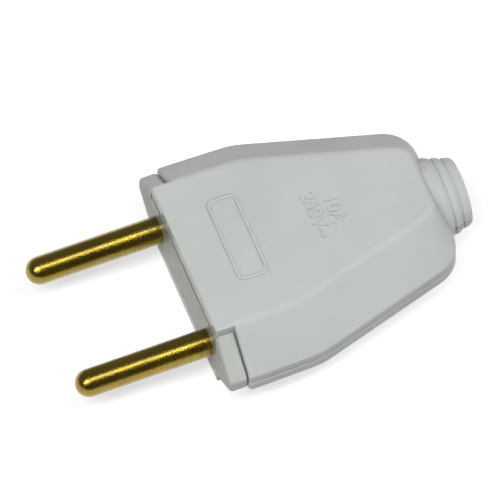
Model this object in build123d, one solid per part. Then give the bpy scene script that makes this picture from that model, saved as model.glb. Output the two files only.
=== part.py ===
from build123d import *
import os
from math import atan2, hypot, pi, tan

# Two-pin plug that its user wires up, lying on its flat underside. Sizes are millimetres.
# The origin is the middle of the engagement face, on the plane of the pin axes, where the shells part.
# The pins reach along -X, the cord leaves along +X, and +Z is up.

# Contact pins
pin_diameter = 4.0
pin_spacing = 19.0
pin_reach = 19.5
terminal_diameter = 7.0
terminal_flat_height = 5.6
terminal_length = 9.0
terminal_chamfer = 0.4
pin_neck_relief = 0.4
wire_bore_diameter = 3.2
wire_bore_depth = 7.6

# Housing, plan outline at the parting plane
front_width = 35.8
shoulder_width = 35.2
rear_width = 21.3
shoulder_reach = 13.7
body_length = 37.0
shoulder_radius = 12.0
rear_corner_radius = 5.0
flat_corner_radius = 3.0

# Housing, section: an upright land at the rim, a bevel above it, then the flat
upper_height = 7.2
lower_height = 6.6
upper_land = 1.5
lower_land = 1.8
bevel_inset = 5.6
rear_inset = 1.7
wall = 2.0
inner_corner_radius = 1.0
flat_edge_radius = 1.5
land_edge_radius = 0.8
seam_chamfer = 0.25
notch_edge_radius = 0.4

# Tongue and groove along the side rims
lip_height = 1.0
lip_reach = 30.0

# Cord collar: a short cone of low crowned rings with narrow grooves between, half on each shell
collar_end = 40.8
collar_root = 36.6
collar_root_diameter = 12.2
collar_end_diameter = 9.6
collar_end_radius = 0.3
ring_count = 3
ring_crown = 0.1
ring_groove_width = 0.4
ring_groove_depth = 0.2
cord_bore_diameter = 6.6
cord_mouth_chamfer = 0.4
collar_seam = 0.16
collar_lip = 0.5

# Pin carrier: front plate with ears, a groove that takes the rib of the shells, and a rear plate
ear_depth = 2.75
ear_inset = 0.4
ear_drop = 0.9
ear_land = 1.3
ear_front_radius = 0.6
ear_rear_radius = 0.5
ear_corner_radius = 1.0
tongue_inset = 0.1
tongue_recess = 0.1
tongue_edge_radius = 0.2
plate_depth = 4.2
plate_edge_radius = 0.25
rib_thickness = 1.4
rib_height = 1.4
rear_plate_depth = 2.0

# Screws
terminal_screw_diameter = 3.0
terminal_head_diameter = 4.6
terminal_head_height = 1.4
terminal_screw_bite = 0.5
terminal_screw_setback = 4.6
housing_screw_diameter = 3.0
housing_head_diameter = 5.6
housing_head_height = 1.8
housing_screw_recess = 2.8
housing_screw_setback = 3.6
housing_screw_end = 4.6
clamp_screw_diameter = 2.9
clamp_head_diameter = 4.6
clamp_head_height = 1.5
clamp_screw_length = 6.0
slot_width = 0.8
slot_share = 0.5
screw_edge_radius = 0.35
screw_point_chamfer = 0.5

# Inner walls, bosses and the cord clamp
rib_wall = 1.6
boss_wall = 1.7
wire_notch_width = 3.4
clamp_gap = 0.8
clamp_screw_spacing = 12.8
clamp_width = 5.0
clamp_thickness = 2.2
clamp_seat = 1.2
clamp_arch_depth = 0.7
clamp_corner_radius = 1.6
grip_height = 0.8
grip_thickness = 0.8
grip_spacing = 2.5

# Clearances
screw_clearance = 0.05
pass_clearance = 0.2
seat_clearance = 0.1
ear_gap = 0.1
near_enough = 0.001

# Places that follow from the sizes above
tongue_width = front_width - 2 * (bevel_inset + tongue_inset)
rib_start = plate_depth
rib_end = rib_start + rib_thickness
carrier_end = rib_end + seat_clearance + rear_plate_depth
terminal_end = carrier_end + terminal_length
terminal_screw_x = terminal_end - terminal_screw_setback
stop_start = terminal_end + seat_clearance
housing_screw_x = terminal_end + housing_screw_setback
screw_recess_diameter = housing_head_diameter + 2 * pass_clearance
lower_boss_diameter = screw_recess_diameter + 2 * boss_wall
clamp_x = housing_screw_x + lower_boss_diameter / 2 + clamp_gap + clamp_width / 2
notch_depth = ear_depth + ear_gap
far_out = body_length + collar_end
pin_places = {"left": -pin_spacing / 2, "right": pin_spacing / 2}
clamp_places = [-clamp_screw_spacing / 2, clamp_screw_spacing / 2]
clamp_length = clamp_screw_spacing + clamp_head_diameter + boss_wall
clamp_top = clamp_thickness - clamp_seat


def block(x_range, y_range, z_range):
    """Box between two values on each axis."""
    spans = (x_range, y_range, z_range)
    size = [high - low for low, high in spans]
    middle = [(high + low) / 2 for low, high in spans]
    return Pos(*middle) * Box(*size)


def slab(x_low, x_high):
    """Everything between two stations along the plug."""
    return block((x_low, x_high), (-far_out, far_out), (-far_out, far_out))


def upright(x, y, diameter, z_low, z_high):
    """Upright cylinder."""
    return Pos(x, y, (z_low + z_high) / 2) * Cylinder(diameter / 2, z_high - z_low)


def moved_line(start, end, inset):
    """Plan line through two points, moved towards the plug's axis: its height at x = 0 and its slope."""
    run = end[0] - start[0]
    rise = end[1] - start[1]
    slope = rise / run
    return start[1] - slope * start[0] - inset * hypot(run, rise) / run, slope


def outline(side_inset, rear_cut, corner_radius):
    """Plan outline of the housing, moved inwards at the sides and at the rear."""
    shoulder = (shoulder_reach, shoulder_width / 2)
    nose_y, nose_slope = moved_line((0, front_width / 2), shoulder, side_inset)
    tail_y, tail_slope = moved_line(shoulder, (body_length, rear_width / 2), side_inset)
    shoulder_x = (tail_y - nose_y) / (nose_slope - tail_slope)
    rear_x = body_length - rear_cut
    half = [
        (0, nose_y),
        (shoulder_x, nose_y + nose_slope * shoulder_x),
        (rear_x, tail_y + tail_slope * rear_x),
    ]
    other_half = [(x, -y) for x, y in reversed(half)]
    face = make_face(Polyline(*half, *other_half, close=True))
    face = fillet(face.vertices().group_by(Axis.X)[1], shoulder_radius)
    return fillet(face.vertices().group_by(Axis.X)[-1], corner_radius)


def half_form(height, land, inset=0.0):
    """Half of the housing's form above the parting plane, with every wall moved inwards by inset."""
    bevel_angle = atan2(height - land, bevel_inset)
    rear_angle = atan2(height - land, rear_inset)
    bend = land - inset * tan((pi / 2 - bevel_angle) / 2)
    rim_corner = rear_corner_radius if inset == 0 else inner_corner_radius
    flat_corner = flat_corner_radius if inset == 0 else inner_corner_radius
    flat_side = bevel_inset + inset * tan(bevel_angle / 2)
    flat_rear = rear_inset + inset * tan(rear_angle / 2)
    rim = outline(inset, inset, rim_corner)
    flat = outline(flat_side, flat_rear, flat_corner)
    bevels = loft([Pos(0, 0, bend) * rim, Pos(0, 0, height - inset) * flat], ruled=True)
    return extrude(rim, bend) + bevels


def whole_form(inset):
    """Both halves of the housing's form, moved inwards by inset."""
    upper = half_form(upper_height, upper_land, inset)
    lower = half_form(lower_height, lower_land, inset)
    return upper + mirror(lower, about=Plane.XY)


def edges_at(form, axis, value):
    """Edges that lie in a plane square to an axis."""
    return form.edges().filter_by_position(axis, value - near_enough, value + near_enough)


def behind_front(edges):
    """Edges that don't lie in the front plane."""
    return edges.filter_by(lambda edge: edge.center().X > near_enough)


def behind_notch(edges):
    """Edges that lie wholly or partly behind the notches for the carrier's ears."""
    return edges.filter_by(lambda edge: edge.center().X > notch_depth + near_enough)


def rounded_half(height, land):
    """Outer half form with the carrier's notches, its soft edges and the fine groove of the parting line."""
    half_tongue = tongue_width / 2
    form = half_form(height, land)
    form = fillet(behind_front(form.edges().group_by(Axis.Z)[-1]), flat_edge_radius)
    form = fillet(behind_front(edges_at(form, Axis.Z, land)), land_edge_radius)
    for y_range in ((half_tongue, far_out), (-far_out, -half_tongue)):
        form -= block((-far_out, notch_depth), y_range, (-far_out, far_out))
    notch_edges = edges_at(form, Axis.X, notch_depth).filter_by(lambda edge: edge.center().Z > near_enough)
    skin = notch_edges.filter_by(lambda edge: abs(edge.center().Y) > half_tongue + near_enough)
    form = fillet(skin, notch_edge_radius)
    return chamfer(behind_notch(form.edges().group_by(Axis.Z)[0]), seam_chamfer)


def collar():
    """Cone of low rings round the cord outlet, with a groove between each two, turned about X."""
    pitch = (collar_end - collar_root) / ring_count
    half_taper = (collar_root_diameter - collar_end_diameter) / 2 / (collar_end - collar_root)

    def cone(x, depth):
        return x, collar_root_diameter / 2 - half_taper * (x - collar_root) - depth

    start = body_length - wall
    lines = [Line((start, 0), cone(start, ring_crown))]
    lines.append(Line(lines[-1] @ 1, cone(collar_root, ring_crown)))
    for ring in range(ring_count):
        last = ring == ring_count - 1
        groove = collar_root + (ring + 1) * pitch
        left = lines[-1] @ 1
        right = cone(collar_end if last else groove - ring_groove_width / 2, ring_crown)
        lines.append(ThreePointArc(left, cone((left.X + right[0]) / 2, 0), right))
        if not last:
            floor = cone(groove, ring_crown + ring_groove_depth)
            lines.append(ThreePointArc(right, floor, cone(groove + ring_groove_width / 2, ring_crown)))
    lines.append(Line(lines[-1] @ 1, (collar_end, 0)))
    lines.append(Line((collar_end, 0), (start, 0)))
    profile = make_face(lines)
    outer_corner = profile.vertices().group_by(Axis.X)[-1].sort_by(Axis.Y)[-1]
    return revolve(fillet(outer_corner, collar_end_radius), Axis.X)


def cord_bore():
    """Cutter for the cord's way through the rear wall and the collar, flared at its mouth."""
    radius = cord_bore_diameter / 2
    start = body_length - wall - rear_inset - wall
    flare = collar_end - cord_mouth_chamfer
    points = [
        (start, 0),
        (start, radius),
        (flare, radius),
        (collar_end, radius + cord_mouth_chamfer),
        (collar_end, 0),
    ]
    return revolve(make_face(Polyline(*points, close=True)), Axis.X)


def collar_groove():
    """Cutter for the fine groove where the collar's halves meet, outside a thin lip round the bore."""
    lip = Cylinder(cord_bore_diameter / 2 + collar_lip, 2 * far_out, rotation=(0, 90, 0))
    return block((body_length, far_out), (-far_out, far_out), (-collar_seam, collar_seam)) - lip


def shell(height, land, inner, outward_cut):
    """One half of the housing: a hollow form with its half collar, open front and inner walls.

    inner holds its ribs and bosses and outward_cut what is drilled last, both with the parting plane at
    z = 0 and the flat at z = height.
    """
    above = block((-far_out, far_out), (-far_out, far_out), (0, far_out))
    form = rounded_half(height, land)
    form += collar() & above
    form -= half_form(height, land, wall)
    form -= cord_bore() + collar_groove()
    form -= slab(-far_out, tongue_recess)
    form = fillet(edges_at(form, Axis.X, tongue_recess).group_by(Axis.Z)[-1], tongue_edge_radius)
    inside = half_form(height, land, wall / 2)
    frame_rib = inside - half_form(height, land, wall + rib_height)
    form += frame_rib & slab(rib_start, rib_end)
    form += inner & inside
    return form - outward_cut


def rim_ring(height, land, outer_inset, depth):
    """Ring inside the side rims, from outer_inset inwards, for the lip and its rebate."""
    ring = extrude(outline(outer_inset, outer_inset, inner_corner_radius), depth)
    ring -= half_form(height, land, wall)
    return ring & slab(rib_end + rear_plate_depth, lip_reach)


def partition(height):
    """Insulating wall between the two terminals, back to the boss of the housing screw."""
    y_range = (-rib_wall / 2, rib_wall / 2)
    return block((carrier_end + seat_clearance, housing_screw_x), y_range, (seat_clearance / 2, height))


def terminal_room(y):
    """Cutter for the room round one terminal head, between its flats."""
    flat = terminal_flat_height / 2
    around = Cylinder(terminal_diameter / 2 + seat_clearance, 2 * far_out, rotation=(0, 90, 0))
    return Pos(0, y, 0) * around & block((carrier_end, stop_start), (-far_out, far_out), (-flat, flat))


def clamp_bar(clearance=0.0):
    """Plain bar of the cord clamp, grown by a clearance on every side but its seat."""
    height = clamp_thickness + clearance
    bar = Box(clamp_width + 2 * clearance, clamp_length + 2 * clearance, height)
    bar = fillet(bar.edges().filter_by(Axis.Z), clamp_corner_radius + clearance)
    return Pos(clamp_x, 0, height / 2 - clamp_seat) * bar


def clamp_room():
    """Cutter for the room round the cord clamp and the heads of its screws."""
    room = clamp_bar(seat_clearance)
    head_top = clamp_top + clamp_head_height + seat_clearance
    for y in clamp_places:
        room += upright(clamp_x, y, clamp_head_diameter + 2 * seat_clearance, -clamp_seat, head_top)
    return room


def upper_shell():
    """Upper half: blind boss for the housing screw, hold-downs and screw pockets over the terminals."""
    height = upper_height
    boss_diameter = housing_screw_diameter + 2 * boss_wall
    inner = partition(height)
    inner += upright(housing_screw_x, 0, boss_diameter, seat_clearance / 2, height)
    for y in pin_places.values():
        y_range = (y - terminal_diameter / 2, y + terminal_diameter / 2)
        hold_down = terminal_flat_height / 2 + seat_clearance
        inner += block((terminal_end - rib_wall, terminal_end), y_range, (hold_down, height))
    pilot = housing_screw_diameter + 2 * screw_clearance
    cut = upright(housing_screw_x, 0, pilot, -height, housing_screw_end + seat_clearance)
    head_top = terminal_flat_height / 2 + terminal_head_height + pass_clearance
    for y in pin_places.values():
        cut += upright(terminal_screw_x, y, terminal_head_diameter + 2 * pass_clearance, 0, head_top)
        cut += terminal_room(y)
    rebate_inset = wall / 2 - seat_clearance
    cut += rim_ring(upper_height, upper_land, rebate_inset, lip_height + seat_clearance)
    return shell(upper_height, upper_land, inner, cut) - clamp_room()


def lower_shell():
    """Lower half, with cradles and stops for the terminals, the screw boss and the cord clamp's seat."""
    height = lower_height
    inner = partition(height)
    inner += upright(housing_screw_x, 0, lower_boss_diameter, seat_clearance / 2, height)
    for y in pin_places.values():
        y_range = (y - terminal_diameter / 2, y + terminal_diameter / 2)
        seat = terminal_flat_height / 2
        for x in (carrier_end + rib_wall, terminal_end - 2 * rib_wall):
            inner += block((x, x + rib_wall), y_range, (seat, height))
        stop = block((stop_start, stop_start + rib_wall), y_range, (seat_clearance / 2, height))
        half_notch = wire_notch_width / 2
        notch_y = (y - half_notch, y + half_notch)
        notch = block((stop_start - rib_wall, far_out), notch_y, (-height, half_notch))
        inner += stop - notch
    for y in clamp_places:
        inner += upright(clamp_x, y, clamp_screw_diameter + 2 * boss_wall, clamp_seat, height)
    grip_half = clamp_screw_spacing / 2
    floor = height - wall
    for x in (clamp_x - grip_spacing / 2, clamp_x + grip_spacing / 2):
        x_range = (x - grip_thickness / 2, x + grip_thickness / 2)
        inner += block(x_range, (-grip_half, grip_half), (floor - grip_height, height))
    cut = upright(housing_screw_x, 0, housing_screw_diameter + 2 * pass_clearance, -height, 2 * height)
    recess_floor = height - housing_screw_recess
    cut += upright(housing_screw_x, 0, screw_recess_diameter, recess_floor, 2 * height)
    for y in pin_places.values():
        cut += terminal_room(y)
    for y in clamp_places:
        pilot = clamp_screw_diameter + 2 * screw_clearance
        pilot_end = clamp_screw_length - clamp_top + seat_clearance
        cut += upright(clamp_x, y, pilot, -height, pilot_end)
    body = mirror(shell(lower_height, lower_land, inner, cut), about=Plane.XY)
    lip = rim_ring(upper_height, upper_land, wall / 2, lip_height)
    root = mirror(rim_ring(lower_height, lower_land, wall / 2, lower_land / 2), about=Plane.XY)
    return body + (lip + root) - clamp_room()


def ear():
    """End of the carrier's front plate on the +Y side, a little sunk in the notch of the shells."""
    inner_y = tongue_width / 2 + seat_clearance
    upper = half_form(upper_height - ear_drop, ear_land, ear_inset)
    lower = half_form(lower_height - ear_drop, ear_land, ear_inset)
    front = (upper + mirror(lower, about=Plane.XY)).faces().group_by(Axis.X)[0]
    outside = block((0, ear_depth), (inner_y, far_out), (-far_out, far_out))
    body = extrude(front, ear_depth, dir=(1, 0, 0)) & outside
    outer = body.edges().filter_by(Axis.X).group_by(Axis.Y)[-1]
    body = fillet(outer, ear_corner_radius)
    for x, radius in ((0, ear_front_radius), (ear_depth, ear_rear_radius)):
        skin = edges_at(body, Axis.X, x).filter_by(lambda edge: edge.center().Y > inner_y + near_enough)
        body = fillet(skin, radius)
    return body


def pin_carrier():
    """Insulating plate moulded round the necks of both pins, locked into the shells by its groove."""
    body = whole_form(wall + seat_clearance) & slab(0, carrier_end)
    body = fillet(edges_at(body, Axis.X, 0), plate_edge_radius)
    groove = slab(rib_start - seat_clearance, rib_end + seat_clearance)
    body -= groove - whole_form(wall + rib_height + seat_clearance)
    side = ear()
    body += side
    body += mirror(side, about=Plane.XZ)
    bore_diameter = pin_diameter - pin_neck_relief + 2 * screw_clearance
    for y in pin_places.values():
        bore = Cylinder(bore_diameter / 2, 2 * far_out, rotation=(0, 90, 0))
        body -= Pos(0, y, 0) * bore
    return body


def contact_pin(y):
    """Round-tipped pin turned in one piece with its drilled terminal head."""
    radius = pin_diameter / 2
    head = terminal_diameter / 2
    bore = wire_bore_diameter / 2
    chamfer_x = terminal_chamfer
    tip = -pin_reach
    tip_arc = RadiusArc((tip, 0), (tip + radius, radius), radius)
    neck = radius - pin_neck_relief / 2
    points = [
        tip_arc @ 1,
        (0, radius),
        (0, neck),
        (carrier_end, neck),
        (carrier_end, head - chamfer_x),
        (carrier_end + chamfer_x, head),
        (terminal_end - chamfer_x, head),
        (terminal_end, head - chamfer_x),
        (terminal_end, bore),
        (terminal_end - wire_bore_depth, bore),
        (terminal_end - wire_bore_depth - bore, 0),
        (tip, 0),
    ]
    body = revolve(make_face([tip_arc, Polyline(*points)]), Axis.X)
    flat = terminal_flat_height / 2
    head_span = (carrier_end, terminal_end)
    for z_range in ((flat, far_out), (-far_out, -flat)):
        body -= block(head_span, (-far_out, far_out), z_range)
    screw_hole = terminal_screw_diameter + 2 * screw_clearance
    body -= upright(terminal_screw_x, 0, screw_hole, 0, far_out)
    return Pos(0, y, 0) * body


def slotted_screw(diameter, length, head_diameter, head_height):
    """Cheese-head screw that points down, with the underside of its head at z = 0."""
    head = Cylinder(head_diameter / 2, head_height)
    head = Pos(0, 0, head_height / 2) * head
    head = fillet(head.edges().group_by(Axis.Z)[-1], screw_edge_radius)
    slot_depth = head_height * slot_share
    head -= Pos(0, 0, head_height) * Box(head_diameter * 2, slot_width, slot_depth * 2)
    shank = Cylinder(diameter / 2, length)
    shank = chamfer(shank.edges().group_by(Axis.Z)[0], screw_point_chamfer)
    return head + Pos(0, 0, -length / 2) * shank


def terminal_screws():
    """One screw in each terminal head, run in on its flat."""
    flat = terminal_flat_height / 2
    length = flat - wire_bore_diameter / 2 + terminal_screw_bite
    screw = slotted_screw(terminal_screw_diameter, length, terminal_head_diameter, terminal_head_height)
    return [Pos(terminal_screw_x, y, flat) * screw for y in pin_places.values()]


def housing_screw():
    """Screw that closes the shells from the underside."""
    seat = lower_height - housing_screw_recess
    length = seat + housing_screw_end
    screw = slotted_screw(housing_screw_diameter, length, housing_head_diameter, housing_head_height)
    return Pos(housing_screw_x, 0, -seat) * (Rot(180, 0, 0) * screw)


def cord_clamp():
    """Bar across the cord, hollowed where the cord passes under it, with a hole at each end."""
    bar = clamp_bar()
    chord = cord_bore_diameter
    arch_radius = (chord * chord / 4 + clamp_arch_depth * clamp_arch_depth) / 2 / clamp_arch_depth
    arch = Cylinder(arch_radius, clamp_width * 2, rotation=(0, 90, 0))
    bar -= Pos(clamp_x, 0, clamp_arch_depth - clamp_seat - arch_radius) * arch
    for y in clamp_places:
        hole = clamp_screw_diameter + 2 * pass_clearance
        bar -= upright(clamp_x, y, hole, -far_out, far_out)
    return bar


def cord_clamp_screws():
    """Two screws that hold the bar on its bosses."""
    screw = slotted_screw(clamp_screw_diameter, clamp_screw_length, clamp_head_diameter, clamp_head_height)
    return [Pos(clamp_x, y, clamp_top) * screw for y in clamp_places]


nodes = {
    "upper_shell": upper_shell(),
    "lower_shell": lower_shell(),
    "pin_carrier": pin_carrier(),
    "terminal_screws": Compound(children=terminal_screws()),
    "housing_screw": housing_screw(),
    "cord_clamp": cord_clamp(),
    "cord_clamp_screws": Compound(children=cord_clamp_screws()),
}
for side, y in pin_places.items():
    nodes["contact_pin_" + side] = contact_pin(y)

os.makedirs("parts", exist_ok=True)
for name, shape in nodes.items():
    export_step(shape, "parts/" + name + ".step")
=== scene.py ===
# %% [markdown]
# # A two-pin plug
#
# A rewirable mains plug lies on its flat underside: two shells of pale grey plastic, a plate that
# carries two round brass pins, and a ringed collar for the cord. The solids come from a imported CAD
# model and stay exactly where they are. This lesson gives them their finishes, adds the fine raised
# marks on the top, and sets up the light and the camera. Blender counts in metres, so a size that is
# written in mm is multiplied by MM where it is used.

# %% Load the frame
import math

import bpy
from mathutils import Matrix, Vector


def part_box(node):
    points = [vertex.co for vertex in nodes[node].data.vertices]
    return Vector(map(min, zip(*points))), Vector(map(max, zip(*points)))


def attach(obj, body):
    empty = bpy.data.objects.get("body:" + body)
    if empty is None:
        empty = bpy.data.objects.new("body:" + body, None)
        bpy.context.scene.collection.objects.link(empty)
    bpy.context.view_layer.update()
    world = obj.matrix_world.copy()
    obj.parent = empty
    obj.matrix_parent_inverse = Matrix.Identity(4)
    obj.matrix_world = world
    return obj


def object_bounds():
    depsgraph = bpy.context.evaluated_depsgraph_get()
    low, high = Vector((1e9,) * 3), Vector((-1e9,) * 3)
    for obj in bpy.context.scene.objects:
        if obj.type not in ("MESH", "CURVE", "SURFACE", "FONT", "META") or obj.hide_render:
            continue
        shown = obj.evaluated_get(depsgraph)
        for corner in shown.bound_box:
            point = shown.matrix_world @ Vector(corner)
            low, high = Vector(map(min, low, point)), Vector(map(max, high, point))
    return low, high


MM = 0.001

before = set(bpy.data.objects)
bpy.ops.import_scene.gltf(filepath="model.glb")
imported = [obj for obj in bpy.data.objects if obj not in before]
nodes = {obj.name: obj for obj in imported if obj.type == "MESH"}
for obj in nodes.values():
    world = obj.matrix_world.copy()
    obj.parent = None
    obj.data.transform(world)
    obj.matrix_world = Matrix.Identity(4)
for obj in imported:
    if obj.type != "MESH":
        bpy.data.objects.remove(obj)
cad_low, cad_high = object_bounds()
scene = bpy.context.scene
scene.view_settings.view_transform = "Standard"
print("nodes:", ", ".join(sorted(nodes)))
print("CAD box in mm:", [round(v / MM, 2) for v in cad_high - cad_low])

# %% [markdown]
# ## The camera
#
# The plug was photographed from well above, a little to the left of its front, through a long lens:
# its parallel edges stay parallel. An orthographic camera would do nearly as well, but a far camera
# with a very long focal length keeps the trace of perspective that a real lens has. It is placed by
# four things read off the picture: the direction of view, a slight roll of the camera, the scale,
# and the pixel where the model's origin lies, the middle of the face between the pins.

# %% Camera
IMAGE_SIZE = 504
VIEW_AZIMUTH = math.radians(-20.0)
VIEW_ELEVATION = math.radians(60.4)
VIEW_ROLL = math.radians(-1.37)
PIXELS_PER_MM = 7.293
ORIGIN_PIXEL = Vector((183.7, 285.5))
CAMERA_DISTANCE = 2400 * MM
SENSOR_WIDTH = 36.0


def view_axes(azimuth, elevation, roll):
    """Right, up and backward axes of a camera that looks at the plug from that direction."""
    level = Vector((math.cos(azimuth), math.sin(azimuth), 0))
    back = Vector((
        math.sin(azimuth) * math.cos(elevation),
        -math.cos(azimuth) * math.cos(elevation),
        math.sin(elevation),
    ))
    upright = back.cross(level)
    right = level * math.cos(roll) + upright * math.sin(roll)
    return right, back.cross(right), back


right, up, back = view_axes(VIEW_AZIMUTH, VIEW_ELEVATION, VIEW_ROLL)
middle = Vector((IMAGE_SIZE / 2, IMAGE_SIZE / 2))
shift = (middle - ORIGIN_PIXEL) / PIXELS_PER_MM * MM
aim = right * shift.x - up * shift.y

camera_data = bpy.data.cameras.new("camera")
camera_data.sensor_width = SENSOR_WIDTH
camera_data.lens = PIXELS_PER_MM / MM * CAMERA_DISTANCE * SENSOR_WIDTH / IMAGE_SIZE
camera = bpy.data.objects.new("camera", camera_data)
scene.collection.objects.link(camera)
turn = Matrix((right, up, back)).transposed().to_4x4()
camera.matrix_world = Matrix.Translation(aim + back * CAMERA_DISTANCE) @ turn
scene.camera = camera
print("camera:", [round(v / MM) for v in camera.location], "lens", round(camera_data.lens), "mm")

# %% [markdown]
# ## Small helpers for node trees
#
# Every finish below is a node tree. It could be drawn by hand in the shader editor, but a tree that
# is built in code can be read, changed and built again. A few helpers keep that code short: they
# add a node and feed its sockets by name, do sums, mix colours, stretch a range, and make a noise
# whose patches have a size in mm. Three more start a node group, place a group and start a material.

# %% Node helpers
MIX_COLOUR_INPUTS = (0, 6, 7)
MIX_COLOUR_OUTPUT = 2


def feed(tree, socket, value):
    """Links an input to another socket, or sets it to a constant."""
    if isinstance(value, bpy.types.NodeSocket):
        tree.links.new(value, socket)
    else:
        socket.default_value = value


def feed_all(tree, made, **inputs):
    """Feeds a node's inputs. Keyword names are socket names with _ for a space."""
    for key, value in inputs.items():
        feed(tree, made.inputs[key.replace("_", " ")], value)


def add_node(tree, kind, options=(), **inputs):
    """Adds a node, sets its options and feeds its inputs."""
    made = tree.nodes.new(kind)
    for option, value in dict(options).items():
        setattr(made, option, value)
    feed_all(tree, made, **inputs)
    return made


def calculate(tree, operation, *values, clamp=False):
    """Math node on up to three values or sockets; returns its output."""
    made = add_node(tree, "ShaderNodeMath", {"operation": operation, "use_clamp": clamp})
    for socket, value in zip(made.inputs, values):
        feed(tree, socket, value)
    return made.outputs[0]


def blend_colours(tree, factor, first, second):
    """Mix node for colours, whose sockets come after those for numbers; returns its output."""
    made = add_node(tree, "ShaderNodeMix", {"data_type": "RGBA"})
    for place, value in zip(MIX_COLOUR_INPUTS, (factor, first, second)):
        feed(tree, made.inputs[place], value)
    return made.outputs[MIX_COLOUR_OUTPUT]


def fit_range(tree, value, low, high, new_low, new_high):
    """Map Range node that clamps; returns its output."""
    made = add_node(tree, "ShaderNodeMapRange", Value=value, From_Min=low, From_Max=high,
                    To_Min=new_low, To_Max=new_high)
    return made.outputs[0]


def space_noise(tree, place, size, detail):
    """Noise in space, with patches of about that size in mm; returns values from 0 to 1."""
    scale = calculate(tree, "DIVIDE", 1 / MM, size)
    return add_node(tree, "ShaderNodeTexNoise", Vector=place, Scale=scale, Detail=detail).outputs["Fac"]


def shade(colour, share=1.0):
    """Value of a colour socket: that share of a colour, opaque."""
    return (*(share * channel for channel in colour), 1.0)


print("node helpers ready")

# %% Group and material helpers


def start_group(name, inputs, outputs):
    """New shader node group; inputs are (name, default) of sizes in mm, outputs are names."""
    group = bpy.data.node_groups.new(name, "ShaderNodeTree")
    for socket_name, default in inputs:
        socket = group.interface.new_socket(socket_name, in_out="INPUT", socket_type="NodeSocketFloat")
        socket.default_value = default
    for socket_name in outputs:
        group.interface.new_socket(socket_name, in_out="OUTPUT", socket_type="NodeSocketFloat")
    return group, group.nodes.new("NodeGroupInput").outputs, group.nodes.new("NodeGroupOutput")


def use_group(tree, group, **inputs):
    """Places a node group in a material with its own values; returns its outputs."""
    return add_node(tree, "ShaderNodeGroup", {"node_tree": group}, **inputs).outputs


def new_material(name):
    """Empty material with a Principled BSDF; returns the material, its tree and that shader."""
    material = bpy.data.materials.new(name)
    material.use_nodes = True
    return material, material.node_tree, material.node_tree.nodes["Principled BSDF"]


print("group and material helpers ready")

# %% [markdown]
# ## Shared effect: moulded grain
#
# Moulded plastic takes the fine, even roughness of a spark-eroded tool, and its colour drifts a
# little where the melt flowed. A picture of such a skin would need UV maps, whose seams would show,
# and noise on Object coordinates needs none. A group with one fine noise for the grain and one broad
# noise for the drift serves the shells, the pin carrier and the clamp, with a grain size for each.

# %% Moulded grain group
NOISE_LOW = 0.3
NOISE_HIGH = 0.7


def make_moulded_grain():
    """Fine height of the tool's texture and a slow drift of tone, both from 0 to 1."""
    sizes = [("Grain Size", 0.2), ("Drift Size", 9.0)]
    group, given, result = start_group("moulded grain", sizes, ["Height", "Drift"])
    place = add_node(group, "ShaderNodeTexCoord").outputs["Object"]
    fine = space_noise(group, place, given["Grain Size"], detail=2.0)
    broad = space_noise(group, place, given["Drift Size"], detail=3.0)
    drift = fit_range(group, broad, NOISE_LOW, NOISE_HIGH, 0.0, 1.0)
    feed_all(group, result, Height=fine, Drift=drift)
    return group


moulded_grain = make_moulded_grain()
print("group:", moulded_grain.name)

# %% [markdown]
# ## Shared effect: turning marks
#
# Pins and screws are turned on a lathe, which leaves fine rings round their axis. A Wave texture
# would make them too even. Noise of one coordinate, the distance along the axis, makes uneven rings
# that are still the same all the way round. The rings are raised, and dirt darkens the grooves
# between them, so the group puts out one value that serves both. Wall sockets have worn the rings
# down towards the pins' tips, so a mask along the axis evens them out there. A fine noise in space
# adds small pits, which break a highlight into specks, and a slow one adds patches of dull metal,
# where hands have been.

# %% Turning marks group
RING_LOW = 0.32
RING_HIGH = 0.68
RING_SWING = 0.5
CELLS_PER_RING = 2.0
RINGS_LEFT = 0.3
PITS_LOW = 0.075
PITS_HIGH = 0.925
DULL_LOW = 0.4
DULL_HIGH = 0.65


def make_turning_marks():
    """Height of pitted rings square to X, and a patchy mask of dull metal, both from about 0 to 1."""
    sizes = [("Ring Pitch", 0.4), ("Pit Size", 0.22), ("Patch Size", 2.5), ("Worn From", -2.0),
             ("Worn To", -10.0)]
    group, given, result = start_group("turning marks", sizes, ["Height", "Patches"])
    place = add_node(group, "ShaderNodeTexCoord").outputs["Object"]
    along = add_node(group, "ShaderNodeSeparateXYZ", Vector=place).outputs["X"]

    frequency = calculate(group, "DIVIDE", 1 / MM, given["Ring Pitch"])
    station = calculate(group, "MULTIPLY", along, frequency)
    rings = add_node(group, "ShaderNodeTexNoise", {"noise_dimensions": "1D"}, W=station,
                     Scale=CELLS_PER_RING, Detail=2.0)
    ridges = fit_range(group, rings.outputs["Fac"], RING_LOW, RING_HIGH, -RING_SWING, RING_SWING)
    worn_from = calculate(group, "MULTIPLY", given["Worn From"], MM)
    worn_to = calculate(group, "MULTIPLY", given["Worn To"], MM)
    left = fit_range(group, along, worn_to, worn_from, RINGS_LEFT, 1.0)

    pits = space_noise(group, place, given["Pit Size"], detail=3.0)
    pitted = fit_range(group, pits, NOISE_LOW, NOISE_HIGH, PITS_LOW, PITS_HIGH)
    height = calculate(group, "MULTIPLY_ADD", ridges, left, pitted)
    patches = space_noise(group, place, given["Patch Size"], detail=4.0)
    dull = fit_range(group, patches, DULL_LOW, DULL_HIGH, 0.0, 1.0)
    feed_all(group, result, Height=height, Patches=dull)
    return group


turning_marks = make_turning_marks()
print("group:", turning_marks.name)

# %% [markdown]
# ## Shared effect: grime and painted shade on the engagement face
#
# The face between the pins rubs on wall sockets and is never cleaned: a warm grey film lies on it
# in uneven patches, and it is glossier than the shells. The film's grey is darker than grime alone:
# it is also painted shade, for a face that turns away from the lamps. It could be painted on by
# hand, but a mask made of coordinates covers carrier and shells alike and needs no UV map. The mask
# picks the surfaces close to x = 0 and between the ears, and a noise, drawn out up and down, makes
# the patches.

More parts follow.
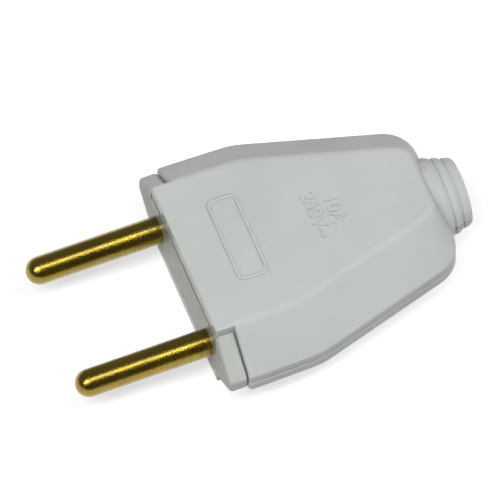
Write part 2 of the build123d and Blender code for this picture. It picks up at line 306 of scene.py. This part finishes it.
# %% Face grime and painted shade group
# This mask darkens the engagement face as grime and as painted shade.
WIPE_STRETCH = 0.5
FILM_AND_SHADE_THIN = 0.74
FILM_AND_SHADE_THICK = 0.96


def make_face_grime_and_shade():
    """Mask of the grimy film and its painted shade, from 0 on clean plastic to 1."""
    sizes = [("Depth", 0.3), ("Half Width", 12.3), ("Patch Size", 0.9)]
    group, given, result = start_group("face grime and painted shade", sizes, ["Film"])
    place = add_node(group, "ShaderNodeTexCoord").outputs["Object"]
    apart = add_node(group, "ShaderNodeSeparateXYZ", Vector=place).outputs

    def within(distance, name):
        limit = calculate(group, "MULTIPLY", given[name], MM)
        return calculate(group, "LESS_THAN", distance, limit)

    near_face = within(apart["X"], "Depth")
    between_ears = within(calculate(group, "ABSOLUTE", apart["Y"]), "Half Width")
    upright = add_node(group, "ShaderNodeMapping", Vector=place, Scale=(1.0, 1.0, WIPE_STRETCH))
    patches = space_noise(group, upright.outputs[0], given["Patch Size"], detail=5.0)
    # The patches set how far grime and painted shade darken the face.
    film_and_shade = fit_range(group, patches, NOISE_LOW, NOISE_HIGH, FILM_AND_SHADE_THIN, FILM_AND_SHADE_THICK)
    film_and_shade = calculate(group, "MULTIPLY", film_and_shade, near_face)
    feed_all(group, result, Film=calculate(group, "MULTIPLY", film_and_shade, between_ears))
    return group


face_grime_and_shade = make_face_grime_and_shade()
print("group:", face_grime_and_shade.name)

# %% [markdown]
# ## Plastic
#
# The shells are a pale grey, faintly green thermoplastic with a satin skin. Three materials could be
# written out one by one, but one function makes the shells', the carrier's and the clamp's plastic,
# so that they differ only in tone, gloss, grain and film. The grain feeds a Bump node, and the drift
# moves colour and roughness a little. The grimy film, darkened further as painted shade, lies on
# whatever is close to the engagement face: the carrier, and the front edges of the shells. Light goes
# a little way into such plastic and comes out beside where it went in. That softens edges, fine
# ridges and the gaps between pieces, and the Subsurface inputs of the shader give it.

# %% Plastic materials
SHELL_GREY = (0.556, 0.580, 0.556)
CARRIER_GREY = (0.520, 0.540, 0.515)
# The film's grey is grime and painted shade: darker than grime alone, as the face turns from the lamps.
FILM_AND_SHADE_GREY = (0.25, 0.242, 0.200)
FACE_ROUGHNESS = 0.12
DRIFT_TONE = 0.94
DRIFT_DULLER = 0.05
DRIFT_GLOSSIER = 0.03
GRAIN_STRENGTH = 0.5
GRAIN_DEPTH = 0.02
SPREAD_SHARE = 0.7
SPREAD_REACH = 0.7
SPREAD_COLOURS = (1.0, 1.0, 1.0)


def make_plastic(name, colour, roughness, specular, film_and_shade_cover, grain_size):
    """Satin moulded plastic; near the engagement face a glossy film of grime and painted shade."""
    material, tree, shader = new_material(name)
    grain = use_group(tree, moulded_grain, Grain_Size=grain_size)
    film_and_shade = use_group(tree, face_grime_and_shade)["Film"]
    clean = blend_colours(tree, grain["Drift"], shade(colour, DRIFT_TONE), shade(colour))
    # The film darkens the colour as grime and as painted shade.
    cover = calculate(tree, "MULTIPLY", film_and_shade, film_and_shade_cover)
    duller = roughness + DRIFT_DULLER
    glossier = roughness - DRIFT_GLOSSIER
    satin = fit_range(tree, grain["Drift"], 0.0, 1.0, duller, glossier)
    wiped = calculate(tree, "GREATER_THAN", film_and_shade, 0.0)
    gloss = add_node(tree, "ShaderNodeMix", Factor=wiped, A=satin, B=FACE_ROUGHNESS)
    bump = add_node(tree, "ShaderNodeBump", Height=grain["Height"], Strength=GRAIN_STRENGTH,
                    Distance=GRAIN_DEPTH * MM)
    feed_all(
        tree, shader,
        Base_Color=blend_colours(tree, cover, clean, shade(FILM_AND_SHADE_GREY)),
        Roughness=gloss.outputs[0],
        Normal=bump.outputs["Normal"],
        Specular_IOR_Level=specular,
        Subsurface_Weight=SPREAD_SHARE,
        Subsurface_Radius=SPREAD_COLOURS,
        Subsurface_Scale=SPREAD_REACH * MM,
    )
    return material


# The film of grime and painted shade covers the carrier's face fully and the shells' front edges a
# little.
shell_plastic = make_plastic(
    "shell plastic", SHELL_GREY, roughness=0.4, specular=0.05, film_and_shade_cover=0.2, grain_size=0.18)
carrier_plastic = make_plastic(
    "carrier plastic", CARRIER_GREY, roughness=0.42, specular=0.04, film_and_shade_cover=1.0, grain_size=0.18)
clamp_plastic = make_plastic(
    "clamp plastic", SHELL_GREY, roughness=0.5, specular=0.12, film_and_shade_cover=0.0, grain_size=0.25)
print("plastics:", shell_plastic.name, carrier_plastic.name, clamp_plastic.name)

# %% [markdown]
# ## Turned brass and zinc-plated steel
#
# The pins are plain turned brass, golden where they are bright and brown where the metal has dulled.
# The screws are steel with a thin coat of zinc. Both are fully metallic, so their look comes from
# what they reflect; the rings from the lathe break the long highlight on each pin. Rings cut into
# the mesh would need very many faces, so they are bump. Years of handling leave a clear film on the
# brass, which turns the middle of that highlight nearly white. It is the shader's own clear coat,
# and the screws have none.

# %% Metals
BRASS_BRIGHT = (0.37, 0.266, 0.016)
BRASS_DULL = (0.29, 0.198, 0.010)
ZINC_BRIGHT = (0.62, 0.63, 0.62)
ZINC_DULL = (0.45, 0.46, 0.46)
GROOVE_TONE = 0.75
GROOVE_DULLER = 0.12
RING_STRENGTH = 0.6
COAT_ROUGHNESS = 0.12


def make_turned_metal(name, bright, dull, roughness, lacquer, ring_pitch, ring_depth):
    """Metal with lathe marks and duller patches, under a clear coat of the given weight."""
    material, tree, shader = new_material(name)
    marks = use_group(tree, turning_marks, Ring_Pitch=ring_pitch)
    clean = blend_colours(tree, marks["Patches"], shade(bright), shade(dull))
    gloss = fit_range(tree, marks["Height"], 0.0, 1.0, roughness + GROOVE_DULLER, roughness)
    bump = add_node(tree, "ShaderNodeBump", Height=marks["Height"], Strength=RING_STRENGTH,
                    Distance=ring_depth * MM)
    feed_all(
        tree, shader,
        Base_Color=blend_colours(tree, marks["Height"], shade(dull, GROOVE_TONE), clean),
        Roughness=gloss,
        Normal=bump.outputs["Normal"],
        Metallic=1.0,
        Coat_Weight=lacquer,
        Coat_Roughness=COAT_ROUGHNESS,
    )
    return material


pin_brass = make_turned_metal(
    "turned brass", BRASS_BRIGHT, BRASS_DULL,
    roughness=0.17, lacquer=0.8, ring_pitch=0.42, ring_depth=0.03)
screw_zinc = make_turned_metal(
    "zinc plate", ZINC_BRIGHT, ZINC_DULL,
    roughness=0.3, lacquer=0.0, ring_pitch=0.3, ring_depth=0.006)
print("metals:", pin_brass.name, screw_zinc.name)

# %% [markdown]
# ## Dressing the solids
#
# Each CAD node is one object with one material slot. The shapes are right as they are, so no node is
# replaced: its slot only gets the finish of the real piece. A table from node to finish shows at a
# glance that none is left out.

# %% Dress the CAD nodes
FINISHES = {
    "upper_shell": shell_plastic,
    "lower_shell": shell_plastic,
    "pin_carrier": carrier_plastic,
    "contact_pin_left": pin_brass,
    "contact_pin_right": pin_brass,
    "terminal_screws": screw_zinc,
    "housing_screw": screw_zinc,
    "cord_clamp": clamp_plastic,
    "cord_clamp_screws": screw_zinc,
}
for name, material in FINISHES.items():
    nodes[name].material_slots[0].material = material
print("dressed", len(FINISHES), "of", len(nodes), "nodes")

# %% [markdown]
# ## The raised frame on the top
#
# Behind the front edge the top carries a thin raised frame, left blank here. It could be inset into
# the top's mesh, but a CAD mesh isn't changed. A line of even section that follows a closed path is
# a job for Geometry Nodes: a rectangle with rounded corners is the path, a flattened circle the
# section, and Curve to Mesh sweeps one along the other.

# %% Tree of the raised frame
CORNER_STEPS = 10
PATH_STEPS = 160
SECTION_STEPS = 14


def make_frame_tree():
    """Geometry Nodes tree that sweeps a low rounded ridge along a rounded rectangle."""
    tree = bpy.data.node_groups.new("raised frame", "GeometryNodeTree")
    tree.interface.new_socket("Geometry", in_out="OUTPUT", socket_type="NodeSocketGeometry")
    for name in ("Length", "Width", "Corner", "Line", "Relief"):
        tree.interface.new_socket(name, in_out="INPUT", socket_type="NodeSocketFloat")
    tree.interface.new_socket("Material", in_out="INPUT", socket_type="NodeSocketMaterial")
    given = tree.nodes.new("NodeGroupInput").outputs
    result = tree.nodes.new("NodeGroupOutput")

    path = add_node(tree, "GeometryNodeCurvePrimitiveQuadrilateral", Width=given["Length"],
                    Height=given["Width"])
    rounded = add_node(tree, "GeometryNodeFilletCurve", {"mode": "POLY"}, Curve=path.outputs[0],
                       Count=CORNER_STEPS, Radius=given["Corner"])
    fine = add_node(tree, "GeometryNodeResampleCurve", Curve=rounded.outputs[0], Count=PATH_STEPS)
    ring = add_node(tree, "GeometryNodeCurvePrimitiveCircle", Resolution=SECTION_STEPS, Radius=1.0)
    half_line = calculate(tree, "MULTIPLY", given["Line"], 0.5)
    size = add_node(tree, "ShaderNodeCombineXYZ", X=half_line, Y=given["Relief"], Z=1.0)
    section = add_node(tree, "GeometryNodeTransform", Geometry=ring.outputs[0], Scale=size.outputs[0])
    ridge = add_node(tree, "GeometryNodeCurveToMesh", Curve=fine.outputs[0],
                     Profile_Curve=section.outputs[0])
    real = add_node(tree, "GeometryNodeRealizeInstances", Geometry=ridge.outputs[0])
    dressed = add_node(tree, "GeometryNodeSetMaterial", Geometry=real.outputs[0],
                       Material=given["Material"])
    feed_all(tree, result, Geometry=dressed.outputs[0])
    return tree


frame_tree = make_frame_tree()
print("tree:", frame_tree.name, "with", len(frame_tree.nodes), "nodes")

# %% Raised frame
FRAME_CENTRE = (8.2, 0.6)
FRAME_SIZE = (4.0, 13.0)
FRAME_CORNER = 0.9
FRAME_LINE = 0.55
FRAME_RELIEF = 0.2
top_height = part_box("upper_shell")[1].z


def grow(name, tree, values):
    """Runs a Geometry Nodes tree on an empty mesh object and keeps the result as a plain mesh."""
    seed = bpy.data.objects.new(name, bpy.data.meshes.new(name + " seed"))
    scene.collection.objects.link(seed)
    modifier = seed.modifiers.new("nodes", "NODES")
    modifier.node_group = tree
    for item in tree.interface.items_tree:
        if item.item_type == "SOCKET" and item.in_out == "INPUT":
            modifier[item.identifier] = values[item.name]
    graph = bpy.context.evaluated_depsgraph_get()
    mesh = bpy.data.meshes.new_from_object(seed.evaluated_get(graph))
    seed.modifiers.remove(modifier)
    seed.data = mesh
    mesh.name = name
    return seed


def on_top(centre):
    """Move from the origin to a place on the top face, given in mm."""
    return Matrix.Translation((centre[0] * MM, centre[1] * MM, top_height))


blank_frame = grow("blank_frame", frame_tree, {
    "Length": FRAME_SIZE[0] * MM,
    "Width": FRAME_SIZE[1] * MM,
    "Corner": FRAME_CORNER * MM,
    "Line": FRAME_LINE * MM,
    "Relief": FRAME_RELIEF * MM,
    "Material": shell_plastic,
})
blank_frame.data.transform(on_top(FRAME_CENTRE))
blank_frame.data.shade_smooth()
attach(blank_frame, "root")
frame_span = [round(v / MM, 2) for v in blank_frame.dimensions]
print("raised frame:", len(blank_frame.data.polygons), "faces, span in mm", frame_span)

# %% [markdown]
# ## The rating
#
# Behind the frame such plugs carry a raised rating. Its letters could be drawn as curves by hand. A
# text object with a little depth is quicker, and turning it into a mesh lets its place be applied,
# so that the object itself stays at the origin. The letters read with the cord end up: their line
# runs along -Y and their tops point to +X.

# %% Rating
RATING_LINES = "10A\n250V~"
RATING_CENTRE = (20.8, -0.15)
RATING_HEIGHT = 2.8
RATING_RELIEF = 0.2
RATING_BEVEL = 0.06
RATING_BEVEL_STEPS = 2
READING_AXES = Matrix(((0, 1, 0), (-1, 0, 0), (0, 0, 1))).to_4x4()

text_data = bpy.data.curves.new("rating text", "FONT")
text_data.body = RATING_LINES
text_data.align_x = "CENTER"
text_data.align_y = "CENTER"
text_data.size = RATING_HEIGHT * MM
text_data.extrude = (RATING_RELIEF - RATING_BEVEL) * MM
text_data.bevel_depth = RATING_BEVEL * MM
text_data.bevel_resolution = RATING_BEVEL_STEPS
text = bpy.data.objects.new("rating text", text_data)
scene.collection.objects.link(text)
rating_mesh = bpy.data.meshes.new_from_object(text.evaluated_get(bpy.context.evaluated_depsgraph_get()))
bpy.data.objects.remove(text)

rating_mesh.transform(on_top(RATING_CENTRE) @ READING_AXES)
rating_mesh.materials.clear()
rating_mesh.materials.append(shell_plastic)
rating = bpy.data.objects.new("rating", rating_mesh)
scene.collection.objects.link(rating)
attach(rating, "root")
print("rating:", len(rating_mesh.polygons), "faces")

# %% [markdown]
# ## The table
#
# The plug lies on a plain white table, which throws light back up into the front face and the rim.
# A table bright enough to look white under these lamps would throw back too much. So it is a mid
# grey for the light that bounces, and a little glow lifts it to white for the camera and for
# mirrors. The glow is added to the light that falls on it, so the shadow of the plug stays.

# %% Table
FLOOR_SIDE = 3000 * MM
FLOOR_GREY = (0.5, 0.5, 0.5)
FLOOR_ROUGHNESS = 0.9
FLOOR_LIFT = 0.66
WHITE = (1.0, 1.0, 1.0, 1.0)


def seen_rays(tree):
    """1 on rays from the camera, a mirror or glass, 0 on the rays that light a dull surface."""
    path = add_node(tree, "ShaderNodeLightPath").outputs
    seen = calculate(tree, "ADD", path["Is Camera Ray"], path["Is Glossy Ray"])
    return calculate(tree, "ADD", seen, path["Is Transmission Ray"], clamp=True)


def make_floor_material():
    """White table top that keeps shadows, lifted to white where the camera or a mirror sees it."""
    material, tree, shader = new_material("table white")
    feed_all(
        tree, shader,
        Base_Color=shade(FLOOR_GREY),
        Roughness=FLOOR_ROUGHNESS,
        Specular_IOR_Level=0.0,
        Emission_Color=WHITE,
        Emission_Strength=calculate(tree, "MULTIPLY", seen_rays(tree), FLOOR_LIFT),
    )
    return material


floor_mesh = bpy.data.meshes.new("table")
half = FLOOR_SIDE / 2
corners = [(x, y, cad_low.z) for x, y in ((-half, -half), (half, -half), (half, half), (-half, half))]
floor_mesh.from_pydata(corners, [], [(0, 1, 2, 3)])
floor_mesh.materials.append(make_floor_material())
floor = bpy.data.objects.new("table", floor_mesh)
scene.collection.objects.link(floor)
print("table at z =", round(cad_low.z / MM, 2), "mm")

# %% [markdown]
# ## Room and lamps
#
# The room is dim. One even white world would be simpler, but brass shows what is round it, and in
# such a world it looks flat. So the room is nearly dark for dull surfaces, and a mirror sees a grey
# that grows paler away from the viewer. Two soft boxes hang overhead, one towards the pins and one
# towards the cord, both a little on the viewer's side, so that the near bevel is lighter than the
# far one. A strip between them draws the bright line along each pin, and the room leaves the rest
# of the brass dark. A weak fill comes in low from the cord end.

# %% Room
ROOM_LIGHT = 0.015
ROOM_NEAR = 0.07
ROOM_FAR = 0.22
ROOM_NEAR_Y = -0.3
ROOM_FAR_Y = 0.9


def make_room():
    """Faint even light for dull surfaces; a mirror sees a room that grows paler away from the viewer."""
    world = bpy.data.worlds.new("dim room")
    world.use_nodes = True
    tree = world.node_tree
    direction = add_node(tree, "ShaderNodeTexCoord").outputs["Generated"]
    away = add_node(tree, "ShaderNodeSeparateXYZ", Vector=direction).outputs["Y"]
    seen_grey = fit_range(tree, away, ROOM_NEAR_Y, ROOM_FAR_Y, ROOM_NEAR, ROOM_FAR)
    grey = add_node(tree, "ShaderNodeMix", Factor=seen_rays(tree), A=ROOM_LIGHT, B=seen_grey)
    feed_all(tree, tree.nodes["Background"], Color=WHITE, Strength=grey.outputs[0])
    return world


scene.world = make_room()
print("world:", scene.world.name)

# %% Lamps
# Each row: name, direction from the plug, distance, long side and short side in mm, power in watts.
SOFTBOXES = (
    ("front overhead", (-0.47, -0.25, 0.95), 1000, 600, 260, 6.75),
    ("rear overhead", (0.6, -0.25, 0.95), 1000, 400, 260, 3.9),
    ("pin strip", (0.17, -0.15, 0.95), 900, 320, 240, 1.2),
    ("rear fill", (0.7, -0.75, 0.12), 900, 500, 500, 1.1),
)


def hang_softbox(name, direction, distance, long_side, short_side, power):
    """Rectangular area light that faces the origin, its long side as near to X as it can be."""
    light = bpy.data.lights.new(name, "AREA")
    light.shape = "RECTANGLE"
    light.size = long_side * MM
    light.size_y = short_side * MM
    light.energy = power
    lamp = bpy.data.objects.new(name, light)
    lamp.visible_camera = False
    scene.collection.objects.link(lamp)
    away = Vector(direction).normalized()
    across = Vector((0, 1, 0)).cross(away).normalized()
    facing = Matrix((across, away.cross(across), away)).transposed().to_4x4()
    lamp.matrix_world = Matrix.Translation(away * distance * MM) @ facing
    return lamp


for softbox in SOFTBOXES:
    lamp = hang_softbox(*softbox)
    print(lamp.name, lamp.data.energy, "W")
